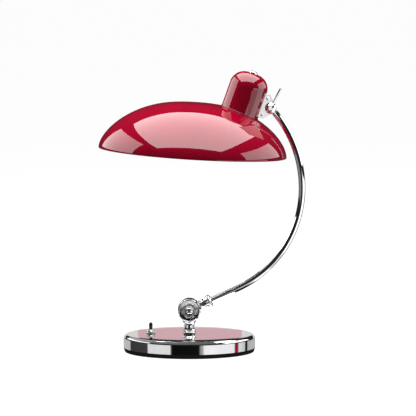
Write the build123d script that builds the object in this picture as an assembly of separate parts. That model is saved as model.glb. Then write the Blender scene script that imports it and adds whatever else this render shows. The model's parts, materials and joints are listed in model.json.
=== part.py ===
from build123d import *
import math
import os

# Desk lamp with a round weighted base, a curved tubular arm and an offset dome shade.
# Millimetres. Origin: centre of the underside, on the table. +Z up, +X towards the arm, -Y is the front.

# ---------------------------------------------------------------- driving dimensions
# base
BASE_R = 100.0
BASE_TOP = 26.5
COVER_WALL = 1.2
COVER_EDGE_R = 6.0
PAD_THICK = 2.0
PAD_R = 98.3
PLATE_TOP = 3.6
PLATE_R = 97.0
WEIGHT_R = 92.0
WEIGHT_TOP = 17.5
CHANNEL_TOP = 14.5
TERMINAL_Y = 45.0
TERMINAL_HALF = 11.0
LEAD_R = 0.9
LEAD_Z = 5.6
LEAD_SPREAD = 2.2
SWITCH_X = -58.5
SWITCH_LEAN = 12.0
GROMMET_Z = 11.0
GROMMET_BORE_R = 3.3
GROMMET_LEN = 7.4
STUD_R = 5.0
STUD_BORE_R = 3.5
STUD_LOW = 10.0

# base knuckle
KNUCKLE_Z = 62.9
KNUCKLE_R = 17.5
TONGUE_R = 16.0
TONGUE_HALF = 5.0
CHEEK_IN = 5.9
CHEEK_OUT = 11.9
CAP_THICK = 2.2
PIVOT_R = 4.0
RUN_GAP = 0.05

# arm
ARM_ANGLE = 24.1
ARM_STRAIGHT = 78.0
ARM_LOW_R = 168.0
ARM_HIGH_R = 180.0
TUBE_R = 5.0
TUBE_BORE_R = 3.7
FERRULE_START = 18.3
FERRULE_END = 37.0
HEAD_Z = 370.2
EYE_R = 7.8
EYE_HALF = 3.5
TUBE_STOP = 10.2

# shade: rim centre, tilt of its axis towards the arm, and profile
RIM_X = 4.9
RIM_Z = 303.6
RIM_TILT = 3.48
RIM_R = 142.5
DOME_H = 74.6
SHADE_WALL = 1.0
NECK_HOLE_R = 23.5

# cup over the lampholder: centre of its seam with the shade, tilt of its axis
CUP_X = 76.8
CUP_Z = 365.3
CUP_TILT = 19.5
CUP_R = 29.25
CUP_WALL = 1.0
CUP_STRAIGHT = 38.0
CUP_H = 60.6
CUP_SHOULDER_R = 22.0
SHADE_SCREW_RING = 25.9
NIPPLE_R = 5.0

# head bracket and clamp
BRACKET_H = 38.4
BRACKET_SCREWS = (6.3, 32.0)
BRACKET_SCREW_OUT = 33.0
CUP_SCREWS = (12.4, 25.9)
PASSAGE_UP = 19.15
PASSAGE_R = 2.6
EAR_IN = 4.2
EAR_OUT = 8.2
EAR_R = 8.6
CLAMP_R = 2.5
HUB_R = 8.75
LEVER_R = 1.8
LEVER_LEN = 34.3
LEVER_ANGLE = 63.0

# lampholder and bulb, heights along the cup's axis
HOLDER_R = 19.5
HOLDER_TOP = 50.0
SCREW_SHELL_R = 14.3
BULB_R = 22.5
BULB_LEN = 75.0
BULB_TIP = 32.6
BULB_CAP_R = 13.2
BULB_CAP_LEN = 25.0

os.makedirs("parts", exist_ok=True)

# direction of the wiring channel from the switch to the terminal block
LEAD_HEADING = math.degrees(math.atan2(TERMINAL_Y, -SWITCH_X))

# frames of the tilted pieces
FRONT = Rot(90, 0, 0)     # turns +Z onto -Y, towards the front
BACK = Rot(-90, 0, 0)     # turns +Z onto +Y
KNUCKLE = Pos(0, 0, KNUCKLE_Z)
SHADE = Pos(RIM_X, 0, RIM_Z) * Rot(0, RIM_TILT, 0)
CUP = Pos(CUP_X, 0, CUP_Z) * Rot(0, CUP_TILT, 0)


# ---------------------------------------------------------------- helpers
def save(name, *solids):
    """Write one node: a single solid, or a group of separate solids."""
    shape = solids[0] if len(solids) == 1 else Compound(children=list(solids))
    shape.label = name
    export_step(shape, f"parts/{name}.step")


def lathe(*edges):
    """Solid turned about Z from a closed outline drawn as (radius, height)."""
    return revolve(Plane.XZ * make_face(Curve() + list(edges)), Axis.Z)


def turned(*points):
    """Solid turned about Z from a closed outline of straight lines."""
    return lathe(Polyline(*points, close=True))


def rod(radius, low, high):
    """Round bar along Z."""
    return Pos(0, 0, low) * Cylinder(radius, high - low, align=(Align.CENTER, Align.CENTER, Align.MIN))


def ring(outer, inner, low, high):
    """Washer or sleeve along Z."""
    return rod(outer, low, high) - rod(inner, low - 1, high + 1)


def block(x_low, x_high, y_low, y_high, z_low, z_high):
    """Box from its limits."""
    centre = Pos((x_low + x_high) / 2, (y_low + y_high) / 2, (z_low + z_high) / 2)
    return centre * Box(x_high - x_low, y_high - y_low, z_high - z_low)


def hex_nut(across_flats, bore, low, high):
    """Plain hexagon nut along Z."""
    hexagon = RegularPolygon(across_flats / 2, 6, major_radius=False)
    return Pos(0, 0, low) * extrude(hexagon, high - low) - rod(bore, low - 1, high + 1)


def domed(radius, low, edge, high):
    """Round button along Z: a short straight side, then a spherical crown."""
    rise = high - edge
    sphere_r = (radius ** 2 + rise ** 2) / (2 * rise)
    half = math.asin(radius / sphere_r) / 2
    middle = (sphere_r * math.sin(half), high - sphere_r * (1 - math.cos(half)))
    return lathe(
        Line((0, low), (radius, low)),
        Line((radius, low), (radius, edge)),
        ThreePointArc((radius, edge), middle, (0, high)),
        Line((0, high), (0, low)),
    )


def pan_head(radius, low, high):
    """Low domed screw head along Z, with a straight slot across its top."""
    head = domed(radius, low, low + 0.35 * (high - low), high)
    slot = block(-radius - 1, radius + 1, -0.16 * radius, 0.16 * radius, high - 0.4 * (high - low), high + 1)
    return head - slot


def around(count, radius, start=0.0):
    """Locations evenly spaced on a circle about Z."""
    return [Rot(0, 0, start + i * 360 / count) * Pos(radius, 0, 0) for i in range(count)]


def wire_run(wire_r, radii, *points):
    """Wire along straight runs joined by tangent arcs."""
    path = FilletPolyline(*points, radius=radii)
    return sweep(Plane(origin=path @ 0, z_dir=path % 0) * Circle(wire_r), path=path)


# ---------------------------------------------------------------- base
def base_skin(inset):
    """Solid inside the cover's surface, drawn in by inset."""
    side = BASE_R - inset
    top = BASE_TOP - inset
    corner = COVER_EDGE_R - inset
    knee = corner * math.sqrt(0.5)
    foot = side - 1.4
    return lathe(
        ThreePointArc((foot, PAD_THICK), (side - 0.35, PAD_THICK + 2.5), (side, PAD_THICK + 5)),
        Line((side, PAD_THICK + 5), (side, top - corner)),
        ThreePointArc((side, top - corner), (side - corner + knee, top - corner + knee),
                      (side - corner, top)),
        Line((side - corner, top), (0, top)),
        Line((0, top), (0, PAD_THICK)),
        Line((0, PAD_THICK), (foot, PAD_THICK)),
    )


def base_cover():
    cover = base_skin(0) - base_skin(COVER_WALL)
    cover -= rod(STUD_R + 0.1, BASE_TOP - 3, BASE_TOP + 1)
    cover -= Pos(SWITCH_X, 0, 0) * rod(4.1, BASE_TOP - 3, BASE_TOP + 1)
    cover -= Pos(0, BASE_R - 8, GROMMET_Z) * (BACK * rod(5.0, 0, 12))
    return cover


def base_plate():
    plate = rod(PLATE_R, PAD_THICK, PLATE_TOP)
    for place in around(3, 60, 30):
        plate -= place * turned((0, 1), (3.1, 1), (3.1, PAD_THICK), (1.6, PLATE_TOP), (1.6, 5), (0, 5))
    return plate


def base_plate_screws():
    screw = turned((0, PAD_THICK), (2.9, PAD_THICK), (1.5, PLATE_TOP - 0.2), (1.5, 10), (0, 10))
    recess = block(-0.4, 0.4, -4, 4, 0, PAD_THICK + 0.6)
    return [place * (screw - recess) for place in around(3, 60, 30)]


def base_weight():
    low = PLATE_TOP
    weight = rod(WEIGHT_R, low, WEIGHT_TOP) + rod(17, low, BASE_TOP - COVER_WALL)
    weight = fillet(weight.edges().filter_by(GeomType.CIRCLE).group_by(Axis.Z)[-2][-1:], 1.5)
    weight -= rod(STUD_R + 0.1, low - 1, BASE_TOP)
    weight -= rod(13, low - 1, STUD_LOW + 6.4)
    weight -= block(-6, 6, 0, WEIGHT_R + 1, low - 1, CHANNEL_TOP)
    weight -= block(-14, 14, TERMINAL_Y - 10, TERMINAL_Y + 10, low - 1, CHANNEL_TOP)
    weight -= Pos(SWITCH_X, 0, 0) * block(-12, 12, -9, 9, low - 1, WEIGHT_TOP + 1)
    reach = math.hypot(SWITCH_X, TERMINAL_Y)
    weight -= Pos(SWITCH_X, 0, 0) * Rot(0, 0, LEAD_HEADING) * block(0, reach, -3.5, 3.5, low - 1, 11)
    for place in around(3, 60, 30):
        weight -= place * rod(1.55, low - 1, 11)
    return weight


def cable_grommet():
    """Bush with a groove that grips the edge of the hole in the cover's side."""
    bush = turned((GROMMET_BORE_R, 0), (6.4, 0), (6.4, 1.8), (4.95, 1.8), (4.95, 3.7), (6.3, 3.7), (6.0, 5.0),
                  (5.0, GROMMET_LEN), (GROMMET_BORE_R, GROMMET_LEN))
    return Pos(0, BASE_R - COVER_WALL - 2.2, GROMMET_Z) * (BACK * bush)


def switch_body():
    body = block(-10.5, 10.5, -7, 7, 11.3, BASE_TOP - COVER_WALL - 2.2)
    neck = rod(3.9, 20, BASE_TOP + 0.5)
    socket = rod(2.9, BASE_TOP - 7, BASE_TOP + 1)
    body = body + neck - socket
    for side in (-1, 1):
        offset = side * LEAD_SPREAD
        body += Rot(0, 0, LEAD_HEADING) * block(-2, 2, offset - 0.4, offset + 0.4, LEAD_Z + LEAD_R, 12)
    return Pos(SWITCH_X, 0, 0) * body


def switch_nut():
    return Pos(SWITCH_X, 0, 0) * ring(6.6, 4.0, BASE_TOP - COVER_WALL - 2.0, BASE_TOP - COVER_WALL)


def switch_bush():
    """Domed ring nut over the switch's neck, with a flared opening for the lever."""
    dome = lathe(
        Line((4.0, BASE_TOP), (6.8, BASE_TOP)),
        ThreePointArc((6.8, BASE_TOP), (6.0, BASE_TOP + 4.2), (4.4, BASE_TOP + 6.6)),
        Line((4.4, BASE_TOP + 6.6), (3.4, BASE_TOP + 6.6)),
        Line((3.4, BASE_TOP + 6.6), (3.4, BASE_TOP + 0.6)),
        Line((3.4, BASE_TOP + 0.6), (4.0, BASE_TOP + 0.6)),
        Line((4.0, BASE_TOP + 0.6), (4.0, BASE_TOP)),
    )
    flare = turned((0, 30), (3.4, 30), (4.2, 34), (0, 34))
    return Pos(SWITCH_X, 0, 0) * (dome - flare)


SWITCH_PIVOT_Z = BASE_TOP - 1.5


def switch_lever():
    """Toggle: ball in the neck and a rounded black bat, leaning to the front at rest."""
    ball = Sphere(2.7)
    stem = turned((0, 0), (1.3, 0), (1.7, 9), (0, 9))
    bat = turned((0, 8.4), (1.7, 8.4), (2.6, 9.4), (2.9, 15.9), (0, 15.9)) + domed(2.9, 15.8, 16.8, 19.5)
    return Pos(SWITCH_X, 0, SWITCH_PIVOT_Z) * Rot(SWITCH_LEAN, 0, 0) * (ball + stem + bat)


def terminal_block():
    body = block(-TERMINAL_HALF, TERMINAL_HALF, TERMINAL_Y - 6, TERMINAL_Y + 6, 5.0, 13.0)
    for x in (-5.5, 5.5):
        body -= Pos(x, TERMINAL_Y - 7, 8.5) * (BACK * rod(1.9, 0, 14))
        body -= Pos(x, TERMINAL_Y, 0) * rod(1.6, 8.5, 14)
    return body


def terminal_screws():
    head = rod(1.5, 10.4, 12.6) - block(-2, 2, -0.25, 0.25, 12.0, 13)
    return [Pos(x, TERMINAL_Y, 0) * head for x in (-5.5, 5.5)]


def switch_leads():
    """Two insulated wires from the switch's tabs to the terminal block."""
    slope = math.radians(LEAD_HEADING)
    leads = []
    for side in (-1, 1):
        offset = side * LEAD_SPREAD
        run = (-SWITCH_X - TERMINAL_HALF + offset * math.sin(slope)) / math.cos(slope) - LEAD_R
        lead = Pos(0, offset, LEAD_Z) * Rot(0, 90, 0) * rod(LEAD_R, -2, run)
        leads.append(Pos(SWITCH_X, 0, 0) * Rot(0, 0, LEAD_HEADING) * lead)
    return leads


# ---------------------------------------------------------------- post and base knuckle
def post_stud():
    return ring(STUD_R, STUD_BORE_R, STUD_LOW, 38)


def post_nut():
    return hex_nut(16, STUD_R + RUN_GAP, STUD_LOW + 0.4, STUD_LOW + 4.8)


def post_washer():
    return ring(9.5, STUD_R + 0.2, STUD_LOW + 4.8, STUD_LOW + 6.4)


def post_collar():
    """Flared foot of the post."""
    return lathe(
        Line((6.6, BASE_TOP), (9.15, BASE_TOP)),
        ThreePointArc((9.15, BASE_TOP), (9.3, BASE_TOP + 2.6), (10.35, BASE_TOP + 4.4)),
        Line((10.35, BASE_TOP + 4.4), (10.35, BASE_TOP + 5.1)),
        ThreePointArc((10.35, BASE_TOP + 5.1), (10.0, BASE_TOP + 5.7), (9.2, BASE_TOP + 6.0)),
        Line((9.2, BASE_TOP + 6.0), (6.6, BASE_TOP + 6.0)),
        Line((6.6, BASE_TOP + 6.0), (6.6, BASE_TOP)),
    )


def post_fork():
    """Column with two round cheeks that hold the arm's tongue."""
    shoulder = BASE_TOP + 6.0
    column = turned((0, BASE_TOP), (6.5, BASE_TOP), (6.5, shoulder), (8.9, shoulder), (8.1, shoulder + 3.5),
                    (8.0, 40.6), (11.6, 46.4), (11.6, 52), (0, 52))
    column &= block(-20, 20, -CHEEK_OUT, CHEEK_OUT, 0, 100)
    disc = FRONT * rod(KNUCKLE_R, -CHEEK_OUT, CHEEK_OUT)
    rims = disc.edges().filter_by(GeomType.CIRCLE)
    disc = KNUCKLE * fillet(rims, 1.6)
    slot_low = KNUCKLE_Z - TONGUE_R - 0.8
    fork = column + disc
    fork -= block(-30, 30, -CHEEK_IN, CHEEK_IN, slot_low, 100)
    fork -= KNUCKLE * (FRONT * rod(PIVOT_R + RUN_GAP, -20, 20))
    front_groove = ring(15.2, 12.3, CHEEK_OUT - 0.5, CHEEK_OUT + 1)
    rear_groove = ring(15.2, 12.3, -20, 0.5 - CHEEK_OUT)
    fork -= KNUCKLE * (FRONT * (front_groove + rear_groove))
    fork -= rod(STUD_R + RUN_GAP, 20, 38)
    fork -= rod(3.2, 30, 50)
    return fork


def knuckle_cap():
    """Turned cap with concentric steps, in its own axis."""
    return turned((PIVOT_R + 0.1, 0), (10.9, 0), (10.9, 1.1), (10.2, 1.8), (9.1, 1.8), (8.7, 1.2), (7.9, 1.2),
                  (7.5, 2.0), (6.8, CAP_THICK), (PIVOT_R + 0.1, CAP_THICK))


def pivot_bolt():
    seat = CHEEK_OUT + CAP_THICK
    shank = rod(PIVOT_R, -CHEEK_OUT - CAP_THICK - 7.5, seat)
    head = domed(5.2, seat, seat + 0.6, seat + 2.6)
    return KNUCKLE * (FRONT * (shank + head))


def pivot_spring_washer():
    seat = CHEEK_OUT + CAP_THICK
    coil = ring(6.4, PIVOT_R + 0.15, seat, seat + 1.8) - block(0, 8, -0.5, 0.5, seat - 1, seat + 3)
    return KNUCKLE * (BACK * coil)


def pivot_nut():
    """Domed nut at the back of the knuckle."""
    seat = CHEEK_OUT + CAP_THICK + 1.8
    hexagon = Pos(0, 0, seat) * extrude(RegularPolygon(6.5, 6, major_radius=False), 4)
    dome = domed(5.8, seat + 3.9, seat + 4.6, seat + 9.4)
    return KNUCKLE * (BACK * (hexagon + dome - rod(PIVOT_R + RUN_GAP, seat - 1, seat + 6)))


def friction_washers():
    disc = ring(14.5, PIVOT_R + 0.15, TONGUE_HALF + RUN_GAP, CHEEK_IN)
    return [KNUCKLE * (FRONT * disc), KNUCKLE * (BACK * disc)]


def post_flex():
    """Flex from the terminal block, up the hollow stud to the knuckle."""
    return wire_run(2.4, [5.0], (0, TERMINAL_Y - 7, 6.5), (0, 0, 6.5), (0, 0, KNUCKLE_Z - TONGUE_R - 1.2))


# ---------------------------------------------------------------- arm
def arm_path():
    """Centreline: straight from the knuckle, then two tangent arcs up to the head joint."""
    heading = math.radians(ARM_ANGLE)
    low_start = (ARM_STRAIGHT * math.cos(heading), KNUCKLE_Z + ARM_STRAIGHT * math.sin(heading))
    low_centre = (low_start[0] - ARM_LOW_R * math.sin(heading), low_start[1] + ARM_LOW_R * math.cos(heading))
    widest = (low_centre[0] + ARM_LOW_R, low_centre[1])
    high_centre_x = widest[0] - ARM_HIGH_R
    sweep_up = math.asin((HEAD_Z - widest[1]) / ARM_HIGH_R)
    return heading, low_start, low_centre, widest, high_centre_x, sweep_up


HEADING, LOW_START, LOW_CENTRE, WIDEST, HIGH_CENTRE_X, SWEEP_UP = arm_path()
HEAD_X = HIGH_CENTRE_X + ARM_HIGH_R * math.cos(SWEEP_UP)
HEAD_JOINT = Pos(HEAD_X, 0, HEAD_Z)
TUBE_END_ANGLE = SWEEP_UP - TUBE_STOP / ARM_HIGH_R
ALONG_ARM = KNUCKLE * Rot(0, 90 - ARM_ANGLE, 0)


def on_high_arc(angle):
    """Point of the upper arc, from its angle above the horizontal."""
    return (HIGH_CENTRE_X + ARM_HIGH_R * math.cos(angle), 0, WIDEST[1] + ARM_HIGH_R * math.sin(angle))


def arm_centreline(start, end_angle):
    """Wire of the centreline from a distance along the straight to an angle on the upper arc."""
    first = (start * math.cos(HEADING), 0, KNUCKLE_Z + start * math.sin(HEADING))
    low_mid = (math.radians(-90) + HEADING) / 2
    low_x = LOW_CENTRE[0] + ARM_LOW_R * math.cos(low_mid)
    low_point = (low_x, 0, LOW_CENTRE[1] + ARM_LOW_R * math.sin(low_mid))
    low_start = (LOW_START[0], 0, LOW_START[1])
    widest = (WIDEST[0], 0, WIDEST[1])
    straight = Line(first, low_start)
    lower = ThreePointArc(low_start, low_point, widest)
    upper = ThreePointArc(widest, on_high_arc(end_angle / 2), on_high_arc(end_angle))
    return Wire([straight, lower, upper])


def bar_below_head(radius, near, far):
    """Bar along the upper arc, between two distances below the head joint."""
    ends = [SWEEP_UP - distance / ARM_HIGH_R for distance in (near, far)]
    path = ThreePointArc(on_high_arc(ends[0]), on_high_arc(sum(ends) / 2), on_high_arc(ends[1]))
    return sweep(Plane(origin=path @ 0, z_dir=path % 0) * Circle(radius), path=path)


def bar_along_arm(radius, start, end_angle):
    path = arm_centreline(start, end_angle)
    return sweep(Plane(origin=path @ 0, z_dir=path % 0) * Circle(radius), path=path)


def arm_tube():
    outer = bar_along_arm(TUBE_R, FERRULE_END - 8, TUBE_END_ANGLE)
    inner = bar_along_arm(TUBE_BORE_R, FERRULE_END - 8, TUBE_END_ANGLE)
    return outer - inner


def arm_knuckle():
    """Tongue between the fork's cheeks, with a spigot that the tube slides over."""
    tongue = FRONT * rod(TONGUE_R, -TONGUE_HALF, TONGUE_HALF)
    neck = block(-6, 6, -TONGUE_HALF, TONGUE_HALF, 8, FERRULE_START)
    spigot = rod(5.6, FERRULE_START - 1, 28.9) + rod(TUBE_BORE_R, 28, 36)
    body = Rot(0, 90 - ARM_ANGLE, 0) * (neck + spigot)
    body += tongue
    body -= FRONT * rod(PIVOT_R + RUN_GAP, -20, 20)
    rim_groove = FRONT * ring(TONGUE_R + 5, 10.6, -2.8, 2.8)
    body -= rim_groove & block(-2.8, 30, -5, 5, -30, 0)
    body -= Rot(0, 90 - ARM_ANGLE, 0) * rod(2.6, 11, 40)
    return KNUCKLE * body


def arm_ferrule():
    """Waisted collar over the joint between the knuckle and the tube."""
    collar = lathe(
        Line((5.65, FERRULE_START), (7.3, FERRULE_START)),
        ThreePointArc((7.3, FERRULE_START), (7.0, FERRULE_START + 4.5), (8.1, FERRULE_START + 10.5)),
        ThreePointArc((8.1, FERRULE_START + 10.5), (8.9, FERRULE_START + 12.6), (10.1, FERRULE_START + 14.2)),
        Line((10.1, FERRULE_START + 14.2), (10.1, FERRULE_START + 15.4)),
        Line((10.1, FERRULE_START + 15.4), (5.9, FERRULE_END)),
        Line((5.9, FERRULE_END), (5.05, FERRULE_END)),
        Line((5.05, FERRULE_END), (5.05, 29)),
        Line((5.05, 29), (5.65, 29)),
        Line((5.65, 29), (5.65, FERRULE_START)),
    )
    return ALONG_ARM * collar


def arm_eye():
    """Round eye at the top of the arm, with a plug in the tube's bore."""
    eye = HEAD_JOINT * (FRONT * rod(EYE_R, -EYE_HALF, EYE_HALF))
    eye += bar_below_head(EYE_HALF, 5, TUBE_STOP) + bar_below_head(TUBE_BORE_R - 0.1, TUBE_STOP - 0.1, 20)
    eye += bar_below_head(4.9, TUBE_STOP - 0.7, TUBE_STOP)
    eye -= bar_below_head(1.8, 4.6, 21)
    eye -= HEAD_JOINT * (FRONT * rod(CLAMP_R + RUN_GAP, -20, 20))
    return eye


def arm_flex():
    """Flex through the tube, between the two plugs."""
    gap = 22.0 / ARM_HIGH_R
    return bar_along_arm(2.4, FERRULE_END + 1, SWEEP_UP - gap)


# ---------------------------------------------------------------- shade
def dome_curve(inset):
    """Half profile of the dome, moved inwards by inset, as (radius, height above the rim)."""
    outer = Spline((0, DOME_H), (46, 71.6), (91, 56.4), (119.5, 36.8), (135.5, 18.2), (RIM_R, 0),
                   tangents=[(1, 0), (0.1, -1)])
    if inset == 0:
        return outer
    steps = 10
    places = [i / steps for i in range(steps + 1)]
    points = []
    for u in places:
        heading = outer % u
        points.append(outer @ u + Vector(heading.Y, -heading.X) * inset)
    return Spline(*points, tangents=[(1, 0), (0.1, -1)])


def dome_solid(inset):
    """Everything under the dome, moved inwards by inset."""
    curve = dome_curve(inset)
    rim = curve @ 1
    return SHADE * lathe(
        curve,
        Line(rim, (rim.X, -1)),
        Line((rim.X, -1), (0, -1)),
        Line((0, -1), curve @ 0),
    )


def shade():
    """Thin spun dome with a narrow turned lip, open below, with the lampholder's hole off centre."""
    outer = dome_curve(0)
    inner = dome_curve(SHADE_WALL)
    outer_rim = outer @ 1
    inner_rim = inner @ 1
    lip = 1.6
    skin = lathe(
        outer,
        Line(outer_rim, (outer_rim.X, -lip)),
        Line((outer_rim.X, -lip), (inner_rim.X - 0.5, -lip)),
        Line((inner_rim.X - 0.5, -lip), inner_rim),
        inner,
        Line(inner @ 0, outer @ 0),
    )
    body = SHADE * skin - CUP * rod(NECK_HOLE_R, -30, 30)
    for place in around(3, SHADE_SCREW_RING, 60):
        body -= CUP * (place * rod(1.6, -30, 30))
    return body


def shade_collar():
    """Pressed ring under the shade that spreads the load of its screws."""
    layer = dome_solid(SHADE_WALL) - dome_solid(SHADE_WALL + 1.2)
    collar = layer & (CUP * ring(28.6, NECK_HOLE_R, -14, 14))
    for place in around(3, SHADE_SCREW_RING, 60):
        collar -= CUP * (place * rod(1.6, -30, 30))
    return collar


def shade_screw_seat(place):
    """Height of the collar's lower face along the cup's axis, at one screw."""
    foot = Plane(CUP * place)
    hits = dome_solid(SHADE_WALL + 1.2).find_intersection_points(Axis(foot.origin, foot.z_dir))
    return max((point - foot.origin).dot(foot.z_dir) for point, _ in hits)


def shade_screws():
    screws = []
    for place in around(3, SHADE_SCREW_RING, 60):
        seat = shade_screw_seat(place)
        head = Pos(0, 0, seat - 1.2) * (Rot(180, 0, 0) * pan_head(2.7, 0, 1.9))
        shank = rod(1.45, seat - 1.3, seat + 6.4)
        screws.append(CUP * (place * (head + shank)))
    return screws


def shade_nuts():
    nuts = []
    for place in around(3, SHADE_SCREW_RING, 60):
        seat = shade_screw_seat(place) + 1.2 + SHADE_WALL + 1.2
        nuts.append(CUP * (place * hex_nut(4.0, 1.5, seat + 0.9, seat + 2.9)))
    return nuts


# ---------------------------------------------------------------- cup
def cup_skin(inset):
    """Solid inside the cup's surface, drawn in by inset, reaching down past the seam."""
    side = CUP_R - inset
    shoulder = CUP_SHOULDER_R - inset
    knee = shoulder * math.sqrt(0.5)
    return lathe(
        Line((0, -14), (side, -14)),
        Line((side, -14), (side, CUP_STRAIGHT)),
        ThreePointArc((side, CUP_STRAIGHT), (side - shoulder + knee, CUP_STRAIGHT + knee),
                      (side - shoulder, CUP_STRAIGHT + shoulder)),
        Line((side - shoulder, CUP_STRAIGHT + shoulder), (0, CUP_H - inset)),
        Line((0, CUP_H - inset), (0, -14)),
    )


def cup():
    """Spun cup with a beaded edge and an inward flange that follow the dome."""
    shell = cup_skin(0) - cup_skin(CUP_WALL)
    edge = dome_solid(-1.5) & (CUP * ring(CUP_R + 0.7, NECK_HOLE_R, -14, 14))
    body = CUP * shell + edge - dome_solid(0)
    body -= CUP * rod(NIPPLE_R + 0.1, CUP_H - 6, CUP_H + 2)
    for place in around(3, SHADE_SCREW_RING, 60):
        body -= CUP * (place * rod(1.6, -30, 20))
    for height in CUP_SCREWS:
        body -= CUP * (Pos(0, 0, height) * Rot(0, 90, 0) * rod(1.55, 20, 40))
    body -= CUP * (Pos(0, 0, PASSAGE_UP) * Rot(0, 90, 0) * rod(PASSAGE_R, 20, 40))
    return body


def finial():
    """Shallow button nut on top of the cup."""
    return CUP * domed(6.6, CUP_H, CUP_H + 1.3, CUP_H + 3.2)


def cup_nipple():
    return CUP * ring(NIPPLE_R, 3.4, HOLDER_TOP - 3, CUP_H)


def nipple_nut():
    return CUP * hex_nut(14, NIPPLE_R + RUN_GAP, CUP_H - CUP_WALL - 4.0, CUP_H - CUP_WALL - 1.0)


# ---------------------------------------------------------------- lampholder and bulb
def lampholder_shell():
    body = turned((0, HOLDER_TOP), (11, HOLDER_TOP), (HOLDER_R - 1.5, HOLDER_TOP - 7), (HOLDER_R, 40),
                  (HOLDER_R, 22), (HOLDER_R - 1.2, 21), (HOLDER_R - 1.2, 5), (0, 5))
    body -= turned((0, 4), (16.2, 4), (16.2, 43), (9, 47.5), (0, 47.5))
    body -= rod(NIPPLE_R + 0.1, 40, 60)
    return CUP * body


def lampholder_insulator():
    disc = rod(16.1, 34.5, 42.5) - rod(6, 33, 38)
    for x in (-9, 9):
        disc -= Pos(x, 0, 0) * rod(1.2, 30, 50)
    return CUP * disc


def screw_shell():
    tube = ring(SCREW_SHELL_R, SCREW_SHELL_R - 0.5, 9, 34.5)
    return CUP * (tube + ring(16.1, SCREW_SHELL_R - 0.5, 9, 10))


def centre_contact():
    tab = block(-2.2, 5.5, -2.2, 2.2, BULB_TIP + 0.2, BULB_TIP + 0.8)
    riser = block(4.7, 5.5, -2.2, 2.2, BULB_TIP + 0.2, 38)
    return CUP * (tab + riser)


def lampholder_leads():
    """Two insulated wires from the bracket's passage, over the holder, to its terminals."""
    leads = []
    for side in (-1, 1):
        near = 1.1 * side
        leads.append(CUP * wire_run(LEAD_R, [4.0, 2.6], (33, near, PASSAGE_UP), (23.6, near, PASSAGE_UP),
                                    (23.6, near, 50), (12, 3.0 * side, 53.2)))
    return leads


def bulb_glass():
    """Globe with a neck into its cap, hollow."""
    centre = BULB_TIP - BULB_LEN + BULB_R
    neck_r = 12.4
    join = centre + math.sqrt(BULB_R ** 2 - (neck_r + 1.5) ** 2)
    def envelope(inset):
        globe = Pos(0, 0, centre) * Sphere(BULB_R - inset)
        neck = rod(neck_r - inset, join - 8, BULB_TIP - BULB_CAP_LEN + 1 - inset)
        shoulder = turned((0, join - 1), (13.9 - inset, join - 1), (neck_r - inset, join + 3), (0, join + 3))
        return globe + neck + shoulder
    return CUP * (envelope(0) - envelope(0.8))


def bulb_cap():
    low = BULB_TIP - BULB_CAP_LEN
    body = turned((0, low), (BULB_CAP_R, low), (BULB_CAP_R, BULB_TIP - 5), (8, BULB_TIP - 1.6),
                  (0, BULB_TIP - 1.6))
    hollow = turned((0, low - 1), (12.5, low - 1), (12.5, BULB_TIP - 5.6), (7, BULB_TIP - 2.8),
                    (0, BULB_TIP - 2.8))
    return CUP * (body - hollow)


def bulb_contact():
    return CUP * turned((0, BULB_TIP - 1.6), (4.6, BULB_TIP - 1.6), (3.6, BULB_TIP), (0, BULB_TIP))


# ---------------------------------------------------------------- head bracket and clamp
def in_cup_frame(point):
    """World (x, z) to (out, up) in the cup's frame."""
    angle = math.radians(CUP_TILT)
    dx = point[0] - CUP_X
    dz = point[1] - CUP_Z
    return (dx * math.cos(angle) - dz * math.sin(angle), dx * math.sin(angle) + dz * math.cos(angle))


JOINT_OUT, JOINT_UP = in_cup_frame((HEAD_X, HEAD_Z))


def bracket_outline(back):
    """Side view of the bracket's cheeks: foot along the cup, nose round the joint."""
    return make_face(Polyline((back, 0.6), (35.6, 0.6), (JOINT_OUT + 0.5, JOINT_UP - EAR_R),
                              (JOINT_OUT + 0.5, JOINT_UP + EAR_R), (34.4, BRACKET_H), (back, BRACKET_H),
                              close=True))


def plate_in_cup(face, y_low, y_high):
    """Extrude a side-view face of the cup's frame between two Y values."""
    plate = extrude(Plane.XZ * face, y_high - y_low)
    return CUP * (Pos(0, y_high, 0) * plate)


def bracket_block():
    """Centre block whose back fits the cup, between the two cheeks, hollowed for the arm's eye to turn in."""
    face = BRACKET_SCREW_OUT + 2.2
    top = BRACKET_H - 0.2
    outline = Polyline((27, 0.8), (face, 0.8), (face, 34), (face - 1.2, top), (27, top), close=True)
    block_body = plate_in_cup(make_face(outline), -EAR_IN + 0.05, EAR_IN - 0.05)
    block_body -= CUP * rod(CUP_R, -20, 60)
    block_body -= HEAD_JOINT * (FRONT * rod(EYE_R + 0.8, -10, 10))
    for height in CUP_SCREWS:
        block_body -= CUP * (Pos(0, 0, height) * Rot(0, 90, 0) * rod(1.3, 20, 40))
    for height in BRACKET_SCREWS:
        block_body -= CUP * (Pos(BRACKET_SCREW_OUT, 0, height) * (FRONT * rod(1.3, -10, 10)))
    block_body -= CUP * (Pos(0, 0, PASSAGE_UP) * Rot(0, 90, 0) * rod(PASSAGE_R, 20, 40))
    return block_body - dome_solid(-1.6)


def cheek(y_low, y_high):
    face = bracket_outline(20)
    nose = Pos(JOINT_OUT, JOINT_UP) * Circle(EAR_R)
    body = plate_in_cup(face + nose, y_low, y_high)
    body -= CUP * rod(CUP_R + 0.05, -20, 60)
    body -= dome_solid(-1.6)
    body -= HEAD_JOINT * (FRONT * rod(CLAMP_R + RUN_GAP, -20, 20))
    for height in BRACKET_SCREWS:
        body -= CUP * (Pos(BRACKET_SCREW_OUT, 0, height) * (FRONT * rod(1.3, -10, 10)))
    return body


def bracket_screws():
    screws = []
    for height in BRACKET_SCREWS:
        screw = rod(1.25, -EAR_OUT - 2.0, EAR_OUT) + pan_head(2.5, EAR_OUT, EAR_OUT + 1.7)
        screws.append(CUP * (Pos(BRACKET_SCREW_OUT, 0, height) * (FRONT * screw)))
    return screws


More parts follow.
